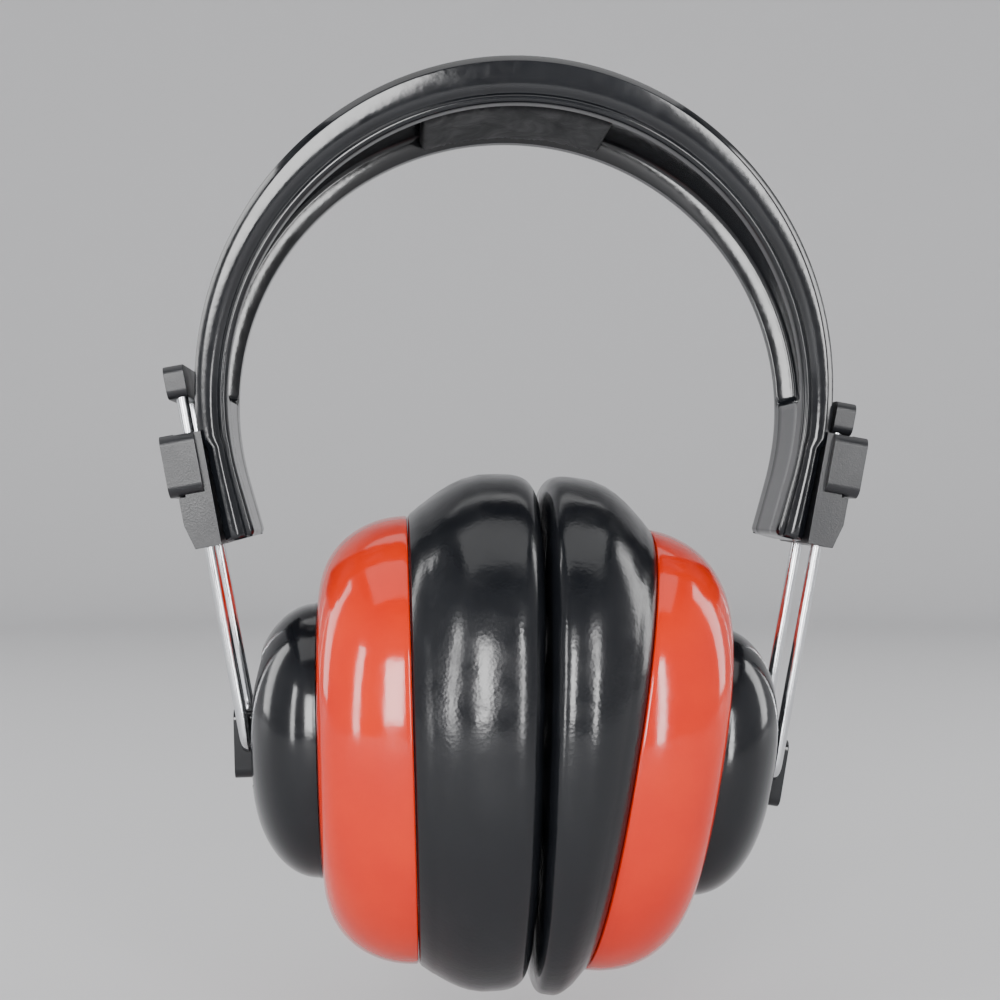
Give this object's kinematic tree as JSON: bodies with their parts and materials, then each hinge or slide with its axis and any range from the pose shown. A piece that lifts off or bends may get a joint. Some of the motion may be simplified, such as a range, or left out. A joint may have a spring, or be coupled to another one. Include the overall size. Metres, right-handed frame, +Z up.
{
  "type": "hearing protection earmuffs",
  "caption": "Over-the-head hearing protection earmuffs: springy moulded headband, sliding wire yokes, tilting domed cups and thick vinyl ear cushions.",
  "frame": {"origin": "centre of the flat under the crown, where the band rests on the head", "axes": "+Z up as worn, X from cup to cup, Y from front to back, with -Y the side that the picture shows"},
  "size_m": [0.1426, 0.0858, 0.1881],
  "materials": {
    "band": "glossy black moulded plastic",
    "pad": "soft black pad",
    "slider": "satin black moulded plastic",
    "steel": "bright drawn steel wire",
    "shell": "glossy orange-red moulded plastic",
    "cap": "glossy black moulded plastic",
    "vinyl": "shiny black vinyl over foam",
    "foam": "open-cell dark grey foam"
  },
  "bodies": {
    "crown": {"headband_crown": "band", "crown_pad": "pad"},
    "left_shoulder": {"left_shoulder": "band"},
    "left_side": {"left_side": "band"},
    "left_arm": {"left_arm": "band", "left_slider_block": "slider", "left_slider_cover": "slider"},
    "left_yoke": {"left_yoke": "steel", "left_yoke_stop": "slider"},
    "left_cup": {"left_outer_cap": "cap", "left_yoke_clip": "cap", "left_cup_shell": "shell", "left_foam_liner": "foam", "left_seat_plate": "cap", "left_cushion_skin": "vinyl", "left_cushion_foam": "foam"},
    "right_shoulder": {"right_shoulder": "band"},
    "right_side": {"right_side": "band"},
    "right_arm": {"right_arm": "band", "right_slider_block": "slider", "right_slider_cover": "slider"},
    "right_yoke": {"right_yoke": "steel", "right_yoke_stop": "slider"},
    "right_cup": {"right_outer_cap": "cap", "right_yoke_clip": "cap", "right_cup_shell": "shell", "right_foam_liner": "foam", "right_seat_plate": "cap", "right_cushion_skin": "vinyl", "right_cushion_foam": "foam"}
  },
  "joints": [
    {"name": "left_spread", "type": "hinge", "parent": "crown", "child": "left_shoulder", "pos_m": [-0.01755, 0, 0.00769], "axis": [0, 1, 0], "range_deg": [0, 9.5], "stiffness_Nm_per_rad": 7.8, "springref_deg": -2.29},
    {"name": "right_spread", "type": "hinge", "parent": "crown", "child": "right_shoulder", "pos_m": [0.01755, 0, 0.00769], "axis": [0, -1, 0], "range_deg": [0, 9.5], "stiffness_Nm_per_rad": 7.8, "springref_deg": -2.29},
    {"name": "left_shoulder_bend", "type": "hinge", "parent": "left_shoulder", "child": "left_side", "pos_m": [-0.04647, 0, -0.00968], "axis": [0, 1, 0], "range_deg": [0, 9.5], "stiffness_Nm_per_rad": 7.8, "springref_deg": -2.29},
    {"name": "right_shoulder_bend", "type": "hinge", "parent": "right_shoulder", "child": "right_side", "pos_m": [0.04647, 0, -0.00968], "axis": [0, -1, 0], "range_deg": [0, 9.5], "stiffness_Nm_per_rad": 7.8, "springref_deg": -2.29},
    {"name": "left_side_bend", "type": "hinge", "parent": "left_side", "child": "left_arm", "pos_m": [-0.06273, 0, -0.03862], "axis": [0, 1, 0], "range_deg": [0, 9.5], "stiffness_Nm_per_rad": 7.8, "springref_deg": -2.29},
    {"name": "right_side_bend", "type": "hinge", "parent": "right_side", "child": "right_arm", "pos_m": [0.06273, 0, -0.03862], "axis": [0, -1, 0], "range_deg": [0, 9.5], "stiffness_Nm_per_rad": 7.8, "springref_deg": -2.29},
    {"name": "left_height", "type": "slide", "parent": "left_arm", "child": "left_yoke", "axis": [-0.1822, 0, 0.9833], "range_m": [-0.007, 0.008]},
    {"name": "right_height", "type": "slide", "parent": "right_arm", "child": "right_yoke", "axis": [0.1822, 0, 0.9833], "range_m": [0, 0.015]},
    {"name": "left_tilt", "type": "hinge", "parent": "left_yoke", "child": "left_cup", "pos_m": [-0.05428, 0, -0.12762], "axis": [0, -1, 0], "range_deg": [-12.5, 9.5], "deforming": ["left_cushion_skin", "left_cushion_foam"]},
    {"name": "right_tilt", "type": "hinge", "parent": "right_yoke", "child": "right_cup", "pos_m": [0.053, 0, -0.1345], "axis": [0, 1, 0], "range_deg": [-20.5, 1.5], "deforming": ["right_cushion_skin", "right_cushion_foam"]}
  ],
  "couplings": [
    {"joint": "right_spread", "follows": "left_spread", "ratio": 1},
    {"joint": "left_shoulder_bend", "follows": "left_spread", "ratio": 1},
    {"joint": "right_shoulder_bend", "follows": "left_spread", "ratio": 1},
    {"joint": "left_side_bend", "follows": "left_spread", "ratio": 1},
    {"joint": "right_side_bend", "follows": "left_spread", "ratio": 1}
  ]
}
